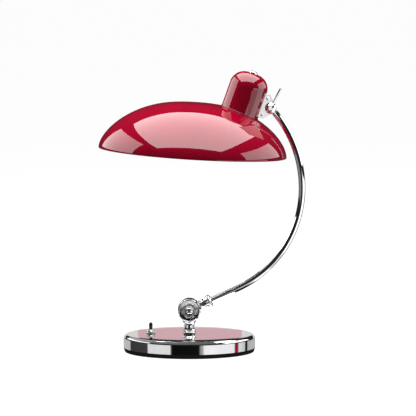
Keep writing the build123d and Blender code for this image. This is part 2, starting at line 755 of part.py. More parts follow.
def bracket_nuts():
    nut = hex_nut(4.6, 1.3, EAR_OUT, EAR_OUT + 1.9)
    return [CUP * (Pos(BRACKET_SCREW_OUT, 0, height) * (BACK * nut)) for height in BRACKET_SCREWS]


def cup_screws():
    """Screws from inside the cup into the bracket's block."""
    inside = CUP_R - CUP_WALL
    screws = []
    for height in CUP_SCREWS:
        head = Pos(0, 0, inside - 0.5) * (Rot(180, 0, 0) * pan_head(2.5, 0, 1.6))
        screw = rod(1.25, inside - 0.6, inside + 4.2) + head
        screws.append(CUP * (Pos(0, 0, height) * Rot(0, 90, 0) * screw))
    return screws


def joint_washers():
    disc = ring(6.8, CLAMP_R + 0.15, EYE_HALF + RUN_GAP, EAR_IN)
    return [HEAD_JOINT * (FRONT * disc), HEAD_JOINT * (BACK * disc)]


def clamp_bolt():
    """Bolt with a domed head at the back, threaded into the lever's hub at the front."""
    shank = rod(CLAMP_R, -EAR_OUT, 13.4)
    head = domed(6.0, EAR_OUT, EAR_OUT + 0.9, EAR_OUT + 3.6)
    return HEAD_JOINT * (FRONT * shank + BACK * head)


HUB_LOW = EAR_OUT + 0.1
HUB_MID = HUB_LOW + 3.6


def lever_hub():
    """Domed hub that turns on the clamp bolt."""
    dome = domed(HUB_R, HUB_LOW, HUB_LOW + 2.6, HUB_LOW + 7.6)
    dome -= rod(CLAMP_R + RUN_GAP, HUB_LOW - 1, 13.6)
    hub = HEAD_JOINT * (FRONT * dome)
    hub -= HEAD_JOINT * Pos(0, -HUB_MID, 0) * Rot(0, 90 - LEVER_ANGLE, 0) * rod(LEVER_R, 5.5, 12)
    return hub


def lever_rod():
    rod_body = chamfer(rod(LEVER_R, 5.5, LEVER_LEN).edges().group_by(Axis.Z)[-1], 0.4)
    return HEAD_JOINT * Pos(0, -HUB_MID, 0) * Rot(0, 90 - LEVER_ANGLE, 0) * rod_body


# ---------------------------------------------------------------- write every node
save("base_pad", rod(PAD_R, 0, PAD_THICK))
save("base_plate", base_plate())
save("base_plate_screws", *base_plate_screws())
save("base_weight", base_weight())
save("base_cover", base_cover())
save("cable_grommet", cable_grommet())
save("switch_body", switch_body())
save("switch_nut", switch_nut())
save("switch_bush", switch_bush())
save("switch_lever", switch_lever())
save("terminal_block", terminal_block())
save("terminal_screws", *terminal_screws())
save("switch_leads", *switch_leads())
save("post_stud", post_stud())
save("post_nut", post_nut())
save("post_washer", post_washer())
save("post_collar", post_collar())
save("post_fork", post_fork())
save("post_flex", post_flex())
save("front_knuckle_cap", KNUCKLE * (FRONT * (Pos(0, 0, CHEEK_OUT) * knuckle_cap())))
save("rear_knuckle_cap", KNUCKLE * (BACK * (Pos(0, 0, CHEEK_OUT) * knuckle_cap())))
save("pivot_bolt", pivot_bolt())
save("pivot_spring_washer", pivot_spring_washer())
save("pivot_nut", pivot_nut())
save("friction_washers", *friction_washers())
save("arm_knuckle", arm_knuckle())
save("arm_ferrule", arm_ferrule())
save("arm_tube", arm_tube())
save("arm_flex", arm_flex())
save("arm_eye", arm_eye())
save("shade", shade())
save("shade_collar", shade_collar())
save("shade_screws", *shade_screws())
save("shade_nuts", *shade_nuts())
save("cup", cup())
save("finial", finial())
save("cup_nipple", cup_nipple())
save("nipple_nut", nipple_nut())
save("lampholder_shell", lampholder_shell())
save("lampholder_insulator", lampholder_insulator())
save("screw_shell", screw_shell())
save("centre_contact", centre_contact())
save("lampholder_leads", *lampholder_leads())
save("bulb_glass", bulb_glass())
save("bulb_cap", bulb_cap())
save("bulb_contact", bulb_contact())
save("bracket_block", bracket_block())
save("bracket_front_cheek", cheek(-EAR_OUT, -EAR_IN))
save("bracket_rear_cheek", cheek(EAR_IN, EAR_OUT))
save("bracket_screws", *bracket_screws())
save("bracket_nuts", *bracket_nuts())
save("cup_screws", *cup_screws())
save("joint_washers", *joint_washers())
save("clamp_bolt", clamp_bolt())
save("lever_hub", lever_hub())
save("lever_rod", lever_rod())
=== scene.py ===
import math

import bmesh
import bpy
import numpy as np
from mathutils import Matrix, Vector
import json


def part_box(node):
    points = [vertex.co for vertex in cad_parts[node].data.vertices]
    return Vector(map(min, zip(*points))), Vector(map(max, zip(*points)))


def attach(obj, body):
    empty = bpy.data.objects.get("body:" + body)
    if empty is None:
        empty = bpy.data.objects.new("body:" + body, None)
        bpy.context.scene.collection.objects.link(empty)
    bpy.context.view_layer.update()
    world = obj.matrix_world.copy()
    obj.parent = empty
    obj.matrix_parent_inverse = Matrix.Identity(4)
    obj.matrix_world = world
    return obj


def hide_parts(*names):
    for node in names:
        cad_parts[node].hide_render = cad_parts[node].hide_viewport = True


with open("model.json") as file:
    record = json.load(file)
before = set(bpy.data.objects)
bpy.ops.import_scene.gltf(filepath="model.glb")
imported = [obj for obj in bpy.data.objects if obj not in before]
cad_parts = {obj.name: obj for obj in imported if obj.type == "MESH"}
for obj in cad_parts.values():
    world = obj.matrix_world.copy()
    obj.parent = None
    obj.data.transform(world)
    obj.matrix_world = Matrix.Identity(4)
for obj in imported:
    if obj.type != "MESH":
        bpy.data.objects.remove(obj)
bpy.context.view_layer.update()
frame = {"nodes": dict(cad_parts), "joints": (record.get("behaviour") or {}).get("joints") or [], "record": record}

# The frame is in metres. Outlines are written in millimetres, as (radius, height), and scaled by MM.
MM = 0.001
ON_AXIS = 1e-6              # a smaller radius is a point on the axis
SMALL_ROUND = 72            # facets round a small turned piece
SHARP = math.radians(32)    # an edge that turns more than this stays sharp

JOINTS = {joint["name"]: joint for joint in frame["joints"]}
NODES = frame["nodes"]
RECORD_SLOT = {part["node"]: part["material_slot"] for part in frame["record"]["subparts"]}


# ---------------------------------------------------------------- places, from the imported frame
def joint_place(name):
    return Vector(JOINTS[name]["pos_m"])


def axes(origin, toward=(0, 0, 1), side=(1, 0, 0)):
    """Matrix whose Z points toward a direction, with X as near as it can be to side."""
    z = Vector(toward).normalized()
    x = (Vector(side) - z * Vector(side).dot(z)).normalized()
    y = z.cross(x)
    turn = Matrix((x, y, z)).transposed().to_4x4()
    return Matrix.Translation(Vector(origin)) @ turn


def tilted(x_mm, z_mm, degrees):
    """Axes whose Z leans from vertical towards +X."""
    lean = math.radians(degrees)
    return axes((x_mm * MM, 0, z_mm * MM), (math.sin(lean), 0, math.cos(lean)))


def bearing(angle):
    """Unit vector in the plane Y = 0, turned from +X towards +Z."""
    return Vector((math.cos(angle), 0, math.sin(angle)))


def around(angle, radius, height):
    """Point about Z in metres, from millimetres."""
    return Vector((radius * math.cos(angle), radius * math.sin(angle), height)) * MM


FRONT = Vector((0, -1, 0))
BACK = Vector((0, 1, 0))
KNUCKLE = joint_place("arm_tilt")
HEAD = joint_place("head_tilt")
TOGGLE = joint_place("switch_throw")
BASE_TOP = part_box("base_cover")[1].z / MM
BASE_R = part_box("base_cover")[1].x / MM
UPRIGHT = Matrix.Identity(4)

# shade and cup: seats, tilts and outlines
SHADE_AXES = tilted(4.9, 303.6, 3.48)
CUP_AXES = tilted(76.8, 365.3, 19.5)
DOME_POINTS = [(0, 74.6), (46, 71.6), (91, 56.4), (119.5, 36.8), (135.5, 18.2), (142.5, 0)]
DOME_WALL = 1.0
CUP_R = 29.25
CUP_WALL = 1.0
CUP_STRAIGHT = 38.0
CUP_SHOULDER = 22.0
CUP_TOP = 60.6
NECK_HOLE_R = 23.5

# knuckle: faces of its cheeks, out from the middle, and the hole for the bolt
CHEEK_IN = 5.9
CHEEK_OUT = 11.9
CHEEK_R = 17.5
PIVOT_HOLE_R = 4.05

# arm centreline: a straight from the knuckle, then two tangent arcs
ARM_ANGLE = math.radians(24.1)
ARM_STRAIGHT = 78.0
ARM_LOW_R = 168.0
ARM_HIGH_R = 180.0
TUBE_R = 5.0
TUBE_START = 29.0
TUBE_STOP = 10.2

# clamp
EAR_IN = 4.2
EAR_OUT = 8.2
EAR_R = 8.6
BRACKET_LOW = 0.6
BRACKET_TOP = 38.4
LEVER_ANGLE = math.radians(63)


# ---------------------------------------------------------------- outlines
def arc(centre, radius, start, end, steps=8):
    """Points of an arc, angles in degrees from the outward direction towards up."""
    angles = [math.radians(start + (end - start) * i / steps) for i in range(steps + 1)]
    return [(centre[0] + radius * math.cos(a), centre[1] + radius * math.sin(a)) for a in angles]


def bow(first, middle, last, steps=8):
    """Points of the arc through three points."""
    a, b, c = (np.array(p, float) for p in (first, middle, last))
    matrix = 2 * np.array([b - a, c - a])
    centre = np.linalg.solve(matrix, [b @ b - a @ a, c @ c - a @ a])
    radius = np.linalg.norm(a - centre)
    angles = np.unwrap([math.atan2(*(p - centre)[::-1]) for p in (a, b, c)])
    return arc(centre, radius, math.degrees(angles[0]), math.degrees(angles[2]), steps)


def rounded(*corners, steps=4):
    """Closed outline with corners (r, z) or (r, z, fillet)."""
    outline = []
    count = len(corners)
    for i, corner in enumerate(corners):
        here = Vector(corner[:2])
        fillet = corner[2] if len(corner) > 2 else 0
        if not fillet:
            outline.append(tuple(here))
            continue
        before = (Vector(corners[i - 1][:2]) - here).normalized()
        after = (Vector(corners[(i + 1) % count][:2]) - here).normalized()
        half = before.angle(after) / 2
        cut = fillet / math.tan(half)
        first, last = here + before * cut, here + after * cut
        middle = here + (before + after).normalized() * (fillet / math.sin(half) - fillet)
        outline += bow(first, middle, last, steps)
    return outline


def spline(points, start, end, steps):
    """Smooth curve through points with given end directions, as (points, unit directions)."""
    p = np.array(points, float)
    gaps = np.linalg.norm(np.diff(p, axis=0), axis=1)
    slope = np.diff(p, axis=0) / gaps[:, None]
    count = len(p)
    rows = np.eye(count)
    goal = np.zeros((count, 2))
    goal[0] = np.array(start) / np.linalg.norm(start)
    goal[-1] = np.array(end) / np.linalg.norm(end)
    for i in range(1, count - 1):
        left, right = gaps[i - 1], gaps[i]
        rows[i, i - 1:i + 2] = (right, 2 * (left + right), left)
        goal[i] = 3 * (right * slope[i - 1] + left * slope[i])
    speed = np.linalg.solve(rows, goal)
    places, headings = [], []
    for i, gap in enumerate(gaps):
        for u in np.linspace(0, 1, steps, endpoint=False):
            places.append(hermite(p[i], p[i + 1], speed[i] * gap, speed[i + 1] * gap, u))
            headings.append(hermite_slope(p[i], p[i + 1], speed[i] * gap, speed[i + 1] * gap, u))
    places.append(p[-1])
    headings.append(speed[-1])
    headings = [h / np.linalg.norm(h) for h in headings]
    return places, headings


def hermite(a, b, speed_a, speed_b, u):
    rise = u * u * (3 - 2 * u)
    return a * (1 - rise) + b * rise + speed_a * u * (1 - u) ** 2 - speed_b * u * u * (1 - u)


def hermite_slope(a, b, speed_a, speed_b, u):
    return (b - a) * 6 * u * (1 - u) + speed_a * (1 - u) * (1 - 3 * u) + speed_b * u * (3 * u - 2)


# ---------------------------------------------------------------- shells: (vertices, faces) in metres
def grid_shell(rings, closed=True, loop=False):
    """Faces between rings of equal count; a ring of one point is a pole, and loop joins last to first."""
    vertices = [v for ring in rings for v in ring]
    starts = np.cumsum([0] + [len(ring) for ring in rings])
    pairs = list(zip(range(len(rings)), range(1, len(rings))))
    if loop:
        pairs.append((len(rings) - 1, 0))
    faces = []
    for a, b in pairs:
        count = max(len(rings[a]), len(rings[b]))
        for i in range(count if closed else count - 1):
            j = (i + 1) % count
            face = []
            for ring, k in ((a, i), (a, j), (b, j), (b, i)):
                index = int(starts[ring]) + (k if len(rings[ring]) > 1 else 0)
                if index not in face:
                    face.append(index)
            if len(face) > 2:
                faces.append(face)
    return vertices, faces


def turned(outline, place=UPRIGHT, segments=SMALL_ROUND):
    """Solid turned about Z of its place, from an outline in millimetres."""
    angles = [2 * math.pi * i / segments for i in range(segments)]
    rings = []
    for radius, height in outline:
        here = angles if radius > ON_AXIS else angles[:1]
        rings.append([place @ around(angle, radius, height) for angle in here])
    has_poles = len(rings[0]) == 1 and len(rings[-1]) == 1
    return grid_shell(rings, loop=not has_poles)


def swept(path, radii, segments=40):
    """Round bar along points in the plane Y = 0, with a radius at each point; its ends are closed."""
    across = Vector((0, 1, 0))
    angles = [2 * math.pi * k / segments for k in range(segments)]
    last = len(path) - 1
    rings = []
    for i, point in enumerate(path):
        along = (path[min(i + 1, last)] - path[max(i - 1, 0)]).normalized()
        out = across.cross(along).normalized()
        rings.append([point + radii[i] * (out * math.cos(a) + across * math.sin(a)) for a in angles])
    return grid_shell([[path[0]]] + rings + [[path[-1]]])


def prism(outline, place, low, high, bevel):
    """Flat piece: an outline in the XY of its place, in millimetres, with bevelled edges."""
    mesh = bmesh.new()
    bottom = [mesh.verts.new(Vector((x * MM, y * MM, low * MM))) for x, y in outline]
    top = [mesh.verts.new(Vector((x * MM, y * MM, high * MM))) for x, y in outline]
    mesh.faces.new(bottom[::-1])
    mesh.faces.new(top)
    for i, corner in enumerate(bottom):
        j = (i + 1) % len(bottom)
        mesh.faces.new((corner, bottom[j], top[j], top[i]))
    rims = [e for e in mesh.edges if abs(e.verts[0].co.z - e.verts[1].co.z) < 1e-9]
    bmesh.ops.bevel(mesh, geom=rims, offset=bevel * MM, segments=3, profile=0.5, affect="EDGES")
    mesh.verts.index_update()
    shell = [place @ v.co for v in mesh.verts], [[v.index for v in f.verts] for f in mesh.faces]
    mesh.free()
    return shell


# ---------------------------------------------------------------- pieces
def shade_smoothly(mesh):
    """Outward faces, smooth but for edges that turn sharply."""
    work = bmesh.new()
    work.from_mesh(mesh)
    bmesh.ops.recalc_face_normals(work, faces=work.faces)
    for face in work.faces:
        face.smooth = True
    for edge in work.edges:
        edge.smooth = len(edge.link_faces) == 2 and edge.calc_face_angle(0) < SHARP
    work.to_mesh(mesh)
    work.free()


def piece(name, shells, body, slot, *stands_for):
    """One object from shells: it rides on a body, stands for CAD nodes and takes a slot's finish."""
    vertices, faces = [], []
    for shell_vertices, shell_faces in shells:
        offset = len(vertices)
        vertices += shell_vertices
        faces += [[i + offset for i in face] for face in shell_faces]
    mesh = bpy.data.meshes.new(name)
    mesh.from_pydata([tuple(v) for v in vertices], [], faces)
    mesh.update()
    shade_smoothly(mesh)
    mesh.materials.append(FINISHES[slot])
    made = bpy.data.objects.new(name, mesh)
    bpy.context.scene.collection.objects.link(made)
    even = made.modifiers.new("flat faces stay flat", "WEIGHTED_NORMAL")
    even.keep_sharp = True
    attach(made, body)
    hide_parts(*stands_for)
    return made


def cut_away(target, shell):
    """Boolean difference of a shell from a piece, made permanent."""
    mesh = bpy.data.meshes.new("cutter")
    mesh.from_pydata([tuple(v) for v in shell[0]], [], shell[1])
    shade_smoothly(mesh)
    cutter = bpy.data.objects.new("cutter", mesh)
    bpy.context.scene.collection.objects.link(cutter)
    even = target.modifiers[0]
    even.show_viewport = False
    change = target.modifiers.new("cut", "BOOLEAN")
    change.operation = "DIFFERENCE"
    change.solver = "EXACT"
    change.object = cutter
    bpy.context.view_layer.update()
    view = bpy.context.evaluated_depsgraph_get()
    result = bpy.data.meshes.new_from_object(target.evaluated_get(view))
    target.modifiers.remove(change)
    even.show_viewport = True
    target.data = result
    bpy.data.objects.remove(cutter)
    shade_smoothly(target.data)


# ---------------------------------------------------------------- materials
class Nodes:
    """Small helper that builds one material's node tree."""

    def __init__(self, name):
        self.material = bpy.data.materials.new(name)
        self.material.use_nodes = True
        self.tree = self.material.node_tree
        self.shader = self.tree.nodes["Principled BSDF"]
        self.place = self.tree.nodes.new("ShaderNodeTexCoord")

    def add(self, kind, **settings):
        node = self.tree.nodes.new(kind)
        for key, value in settings.items():
            setattr(node, key, value)
        return node

    def link(self, source, target):
        self.tree.links.new(source, target)

    def noise(self, scale, detail=4.0, stretch=(1, 1, 1), rough=0.5):
        """Noise over the piece, in metres; stretch squeezes it along an axis."""
        mapping = self.add("ShaderNodeMapping")
        mapping.inputs["Scale"].default_value = stretch
        self.link(self.place.outputs["Object"], mapping.inputs["Vector"])
        noise = self.add("ShaderNodeTexNoise")
        noise.inputs["Scale"].default_value = scale
        noise.inputs["Detail"].default_value = detail
        noise.inputs["Roughness"].default_value = rough
        self.link(mapping.outputs["Vector"], noise.inputs["Vector"])
        return noise.outputs["Fac"]

    def spread(self, source, low, high, start=0.3, end=0.7):
        """Maps a noise to a range of values."""
        span = self.add("ShaderNodeMapRange")
        span.inputs["From Min"].default_value = start
        span.inputs["From Max"].default_value = end
        span.inputs["To Min"].default_value = low
        span.inputs["To Max"].default_value = high
        self.link(source, span.inputs["Value"])
        return span.outputs["Result"]

    def tint(self, source, dark, light, start=0.3, end=0.7):
        """Colour that wanders between two tones with a noise."""
        ramp = self.add("ShaderNodeValToRGB")
        ramp.color_ramp.elements[0].position = start
        ramp.color_ramp.elements[0].color = (*dark, 1)
        ramp.color_ramp.elements[1].position = end
        ramp.color_ramp.elements[1].color = (*light, 1)
        self.link(source, ramp.inputs["Fac"])
        self.link(ramp.outputs["Color"], self.shader.inputs["Base Color"])

    def roughness(self, source, low, high):
        self.link(self.spread(source, low, high), self.shader.inputs["Roughness"])

    def bump(self, source, strength, depth, under=None):
        bump = self.add("ShaderNodeBump")
        bump.inputs["Strength"].default_value = strength
        bump.inputs["Distance"].default_value = depth
        self.link(source, bump.inputs["Height"])
        if under is not None:
            self.link(under, bump.inputs["Normal"])
        return bump.outputs["Normal"]

    def surface(self, normal):
        self.link(normal, self.shader.inputs["Normal"])

    def set(self, **values):
        for key, value in values.items():
            self.shader.inputs[key.replace("_", " ")].default_value = value


def chrome():
    """Polished chrome plate: near mirror, with faint haze, wipe marks and buffing."""
    m = Nodes("chrome")
    haze = m.noise(55, 5)
    wipes = m.noise(420, 3, (1, 1, 0.12))
    m.tint(haze, (0.80, 0.81, 0.82), (0.90, 0.905, 0.91))
    m.roughness(haze, 0.035, 0.075)
    m.surface(m.bump(wipes, 0.025, 0.0001, m.bump(m.noise(60, 2), 0.02, 0.0004)))
    m.set(Metallic=1.0)
    return m.material


def red_lacquer():
    """Crimson stove lacquer: a clear gloss over colour that wanders slightly, with a faint orange peel."""
    m = Nodes("red_lacquer")
    m.tint(m.noise(18, 3), (0.28, 0.0011, 0.016), (0.325, 0.002, 0.0215))
    m.roughness(m.noise(240, 4), 0.26, 0.36)
    peel = m.bump(m.noise(160, 2), 0.05, 0.0001)
    m.surface(peel)
    m.link(peel, m.shader.inputs["Coat Normal"])
    m.set(Coat_Weight=1.0, Coat_Roughness=0.02, Coat_IOR=1.72, Specular_IOR_Level=0.0)
    return m.material


def white_enamel():
    """Reflector paint inside the shade, satin, with a light mist of spray."""
    m = Nodes("white_enamel")
    m.tint(m.noise(30, 4), (0.78, 0.77, 0.74), (0.86, 0.855, 0.83))
    m.roughness(m.noise(500, 4), 0.30, 0.45)
    m.surface(m.bump(m.noise(900, 3), 0.12, 0.0002))
    m.set(Coat_Weight=0.25, Coat_Roughness=0.25)
    return m.material


def zinc_steel():
    """Zinc-plated steel with drawn marks and a mottled bright coat."""
    m = Nodes("zinc_steel")
    mottle = m.noise(260, 5)
    m.tint(mottle, (0.46, 0.47, 0.49), (0.64, 0.65, 0.66))
    m.roughness(mottle, 0.24, 0.42)
    m.surface(m.bump(m.noise(1800, 3, (1, 1, 0.05)), 0.15, 0.0001))
    m.set(Metallic=1.0)
    return m.material


def cast_iron():
    m = Nodes("cast_iron")
    grain = m.noise(700, 8, rough=0.65)
    m.tint(m.noise(60, 5), (0.030, 0.030, 0.032), (0.065, 0.062, 0.060))
    m.roughness(grain, 0.55, 0.80)
    m.surface(m.bump(grain, 0.6, 0.0006))
    m.set(Metallic=0.6)
    return m.material


def black_rubber():
    m = Nodes("black_rubber")
    grain = m.noise(2600, 4)
    m.tint(m.noise(90, 4), (0.011, 0.011, 0.012), (0.022, 0.021, 0.021))
    m.roughness(m.noise(300, 4), 0.62, 0.80)
    m.surface(m.bump(grain, 0.35, 0.0002))
    m.set(Specular_IOR_Level=0.4)
    return m.material


def black_plastic():
    """Moulded phenolic: deep black, glossy, with a faint flow texture."""
    m = Nodes("black_plastic")
    m.tint(m.noise(120, 5), (0.006, 0.006, 0.007), (0.013, 0.012, 0.012))
    m.roughness(m.noise(500, 4), 0.12, 0.24)
    m.surface(m.bump(m.noise(900, 4), 0.05, 0.0001))
    m.set(Coat_Weight=0.3, Coat_Roughness=0.1)
    return m.material


def fibre():
    m = Nodes("fibre_washer")
    weave = m.noise(1500, 6, (1, 0.3, 1))
    m.tint(weave, (0.24, 0.085, 0.035), (0.36, 0.14, 0.065))
    m.roughness(weave, 0.60, 0.78)
    m.surface(m.bump(weave, 0.3, 0.0002))
    return m.material


def white_plastic():
    m = Nodes("white_plastic")
    m.tint(m.noise(80, 4), (0.70, 0.69, 0.65), (0.78, 0.77, 0.73))
    m.roughness(m.noise(600, 4), 0.32, 0.46)
    m.surface(m.bump(m.noise(1400, 3), 0.06, 0.0001))
    m.set(Subsurface_Weight=0.1, Subsurface_Scale=0.002)
    return m.material


def porcelain():
    m = Nodes("porcelain")
    specks = m.noise(900, 8, rough=0.7)
    m.tint(specks, (0.68, 0.66, 0.61), (0.80, 0.785, 0.75), 0.25, 0.55)
    m.roughness(m.noise(200, 3), 0.12, 0.22)
    m.surface(m.bump(m.noise(160, 4), 0.08, 0.0003))
    m.set(Coat_Weight=0.8, Coat_Roughness=0.06)
    return m.material


def contact_brass():
    m = Nodes("contact_brass")
    tarnish = m.noise(320, 6)
    m.tint(tarnish, (0.46, 0.27, 0.09), (0.66, 0.46, 0.17))
    m.roughness(tarnish, 0.34, 0.20)
    m.surface(m.bump(m.noise(2200, 3, (1, 1, 0.05)), 0.1, 0.0001))
    m.set(Metallic=1.0)
    return m.material


def wire_insulation():
    m = Nodes("wire_insulation")
    m.tint(m.noise(140, 4), (0.014, 0.013, 0.013), (0.028, 0.027, 0.026))
    m.roughness(m.noise(700, 4), 0.40, 0.55)
    m.surface(m.bump(m.noise(1900, 4, (1, 1, 0.2)), 0.12, 0.0001))
    return m.material


def opal_glass():
    """Opal bulb: milky glass under a clear gloss, slightly uneven where the coating is thin."""
    m = Nodes("bulb_glass")
    m.tint(m.noise(45, 4), (0.84, 0.83, 0.80), (0.92, 0.915, 0.895))
    m.roughness(m.noise(260, 3), 0.10, 0.18)
    m.surface(m.bump(m.noise(120, 2), 0.03, 0.0003))
    m.set(Subsurface_Weight=0.6, Subsurface_Scale=0.006, Coat_Weight=1.0, Coat_Roughness=0.03)
    return m.material


FINISHES = {
    "chrome": chrome(), "red_lacquer": red_lacquer(), "zinc_steel": zinc_steel(), "cast_iron": cast_iron(),
    "black_rubber": black_rubber(), "black_plastic": black_plastic(), "fibre_washer": fibre(),
    "white_plastic": white_plastic(), "porcelain": porcelain(), "contact_brass": contact_brass(),
    "wire_insulation": wire_insulation(), "bulb_glass": opal_glass(),
}


def finish_cad_nodes():
    """Every CAD node that stays in view takes the finish of its slot in the record."""
    for name, slot in RECORD_SLOT.items():
        materials = NODES[name].data.materials
        materials.clear()
        materials.append(FINISHES[slot])


def chromed(name, shells, body, *stands_for):
    return piece(name, shells, body, "chrome", *stands_for)


# ---------------------------------------------------------------- base
def base_shell():
    """Spun cover: drawn in at the foot, rounded at the shoulder, a trace of crown on its top."""
    shoulder, fall, wall, foot = 6.0, 0.5, 1.2, 2.0
    bend = (BASE_R - shoulder, BASE_TOP - shoulder - fall)
    outline = bow((BASE_R - 1.4, foot), (BASE_R - 0.35, foot + 2.5), (BASE_R, foot + 5), 6)
    outline += arc(bend, shoulder, 0, 86, 14)
    outline += bow((bend[0] - 1.5, BASE_TOP - fall + 0.05), (82, BASE_TOP - 0.12), (68, BASE_TOP), 8)
    outline += [(20, BASE_TOP), (0, BASE_TOP), (20, BASE_TOP - wall), (60, BASE_TOP - wall - 0.1)]
    outline += arc(bend, shoulder - wall, 90, 0, 10)
    outline += [(BASE_R - wall - 0.1, foot + 5), (BASE_R - 2 * wall, foot)]
    chromed("base_shell", [turned(outline, segments=256)], "base", "base_cover")


def base_foot_pad():
    """Rubber disc with moulded rings underneath."""
    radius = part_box("base_pad")[1].x / MM
    thick = 2.0
    outline = [(0, thick), (radius - 0.3, thick), (radius, thick - 0.3), (radius, 0.5), (radius - 0.5, 0)]
    for groove in (90, 70, 50, 30):
        outline += [(groove + 1.2, 0), (groove + 0.8, 0.35), (groove - 0.8, 0.35), (groove - 1.2, 0)]
    outline.append((0, 0))
    piece("base_foot_pad", [turned(outline, segments=192)], "base", "black_rubber", "base_pad")


def inlet_grommet():
    """Rubber bush in the back of the base, grooved where it holds the cover."""
    start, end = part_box("cable_grommet")
    place = axes((0, start.y, (start.z + end.z) / 2), BACK)
    outline = rounded((3.3, 0, 0.3), (6.3, 0, 0.3), (6.3, 1.8), (4.95, 1.8), (4.95, 3.7), (6.25, 3.7, 0.5),
                      (5.9, 5.4, 0.9), (4.9, 7.4, 0.6), (3.3, 7.4, 0.5))
    piece("inlet_grommet", [turned(outline, place, 96)], "base", "black_rubber", "cable_grommet")


def switch_dome():
    """Ring nut of the switch: a skirt, stepped grooves for the fingers and a flared mouth."""
    place = Matrix.Translation((TOGGLE.x, 0, BASE_TOP * MM))
    outline = rounded((3.9, 0.02), (6.75, 0.02, 0.2), (6.75, 1.3, 0.35), (6.2, 1.6, 0.2), (6.45, 2.3, 0.4),
                      (6.0, 3.1, 0.2), (6.1, 3.7, 0.4), (5.5, 4.5, 0.2), (5.5, 5.0, 0.4), (4.5, 6.5, 0.6),
                      (3.9, 6.5, 0.3), (3.3, 5.2, 0.3), (3.3, 0.8))
    chromed("switch_dome", [turned(outline, place, 96)], "base", "switch_bush")


def switch_bat():
    """Black toggle with a round tip on a thin stem, leaning to the front."""
    lean = math.radians(12)
    ball, tip = 2.7, 2.88
    place = axes(TOGGLE, (0, -math.sin(lean), math.cos(lean)))
    outline = [(0, -ball)] + arc((0, 0), ball, -75, 60, 12) + [(1.3, 3.2), (1.6, 8.4), (2.3, 9.0)]
    outline += bow((2.55, 9.6), (2.78, 13.0), (tip, 16.4), 8) + arc((0, 16.62), tip, 0, 90, 10)
    piece("switch_bat", [turned(outline, place, 64)], "toggle", "black_plastic", "switch_lever")


def post_foot():
    """Flared collar between the base and the column."""
    place = Matrix.Translation((0, 0, BASE_TOP * MM))
    outline = [(6.7, 0.02), (8.9, 0.02)] + bow((9.1, 0.2), (9.25, 2.6), (10.2, 4.2), 8)
    outline += bow((10.3, 4.45), (10.35, 4.75), (10.3, 5.1), 4)
    outline += bow((10.25, 5.2), (9.9, 5.75), (9.2, 5.98), 5) + [(6.7, 5.98)]
    chromed("post_foot", [turned(outline, place, 96)], "base", "post_collar")


def column():
    """Waisted column under the knuckle, flaring into its head."""
    low = BASE_TOP + 6.0
    outline = [(0, low), (8.7, low)] + bow((8.85, low + 0.15), (8.2, low + 1.9), (8.0, low + 4.0), 6)
    outline += bow((8.0, 40.0), (8.9, 43.6), (11.4, 46.1), 8) + [(11.6, 46.6), (11.6, 52), (0, 52)]
    return turned(outline, segments=96)


def cheek_disc(facing):
    """One round cheek of the fork, with a rolled rim and a groove round its cap."""
    groove = CHEEK_OUT - 0.5
    outline = rounded((PIVOT_HOLE_R, CHEEK_IN), (CHEEK_R, CHEEK_IN, 0.4), (CHEEK_R, CHEEK_OUT, 2.1),
                      (15.3, CHEEK_OUT, 0.1), (15.1, groove, 0.1), (12.4, groove, 0.1),
                      (12.2, CHEEK_OUT, 0.2), (PIVOT_HOLE_R, CHEEK_OUT), steps=6)
    return turned(outline, axes(KNUCKLE, facing), 128)


def fork():
    """Column with a slot for the arm, and a cheek on each side of it."""
    made = chromed("fork_column", [column()], "base", "post_fork")
    side, low, high = 14.0, KNUCKLE.z / MM - 16.8, 60
    outline = [(-side, low), (side, low), (side, high), (-side, high)]
    cut_away(made, prism(outline, axes((0, 0, 0), FRONT), -CHEEK_IN, CHEEK_IN, 0.05))
    chromed("fork_cheeks", [cheek_disc(FRONT), cheek_disc(BACK)], "base", "post_fork")


def knuckle_cap(name, facing, node):
    """Turned cap: a rolled outer ring, a channel and a raised boss under the bolt."""
    place = axes(KNUCKLE + facing * CHEEK_OUT * MM, facing)
    outline = rounded((4.1, 0.0), (10.9, 0.0), (10.9, 1.9, 0.9), (9.0, 1.85, 0.35), (8.7, 1.2, 0.2),
                      (7.9, 1.2, 0.2), (7.4, 2.2, 0.5), (4.1, 2.2, 0.1), steps=5)
    chromed(name, [turned(outline, place, 96)], "base", node)


def pivot():
    """Pivot bolt with a domed head at the front, and its domed nut at the back."""
    outline = [(0, -21.5), (3.95, -21.5), (3.95, 14.1), (5.2, 14.1)]
    outline += bow((5.2, 14.6), (3.4, 16.0), (0, 16.7), 12)
    chromed("pivot_bolt_turned", [turned(outline, axes(KNUCKLE, FRONT), 64)], "base", "pivot_bolt")
    rear = axes(KNUCKLE, BACK)
    dome = [(PIVOT_HOLE_R, 19.6), (5.75, 19.6), (5.75, 20.4)]
    dome += bow((5.6, 21.2), (3.6, 24.0), (0, 25.2), 12) + [(0, 22.6), (PIVOT_HOLE_R, 22.6)]
    flats = arc((0, 0), 6.5, 0, 300, 5)
    nut = [prism(flats, rear, 15.9, 19.95, 0.35), turned(dome, rear, 64)]
    chromed("pivot_cap_nut", nut, "base", "pivot_nut")


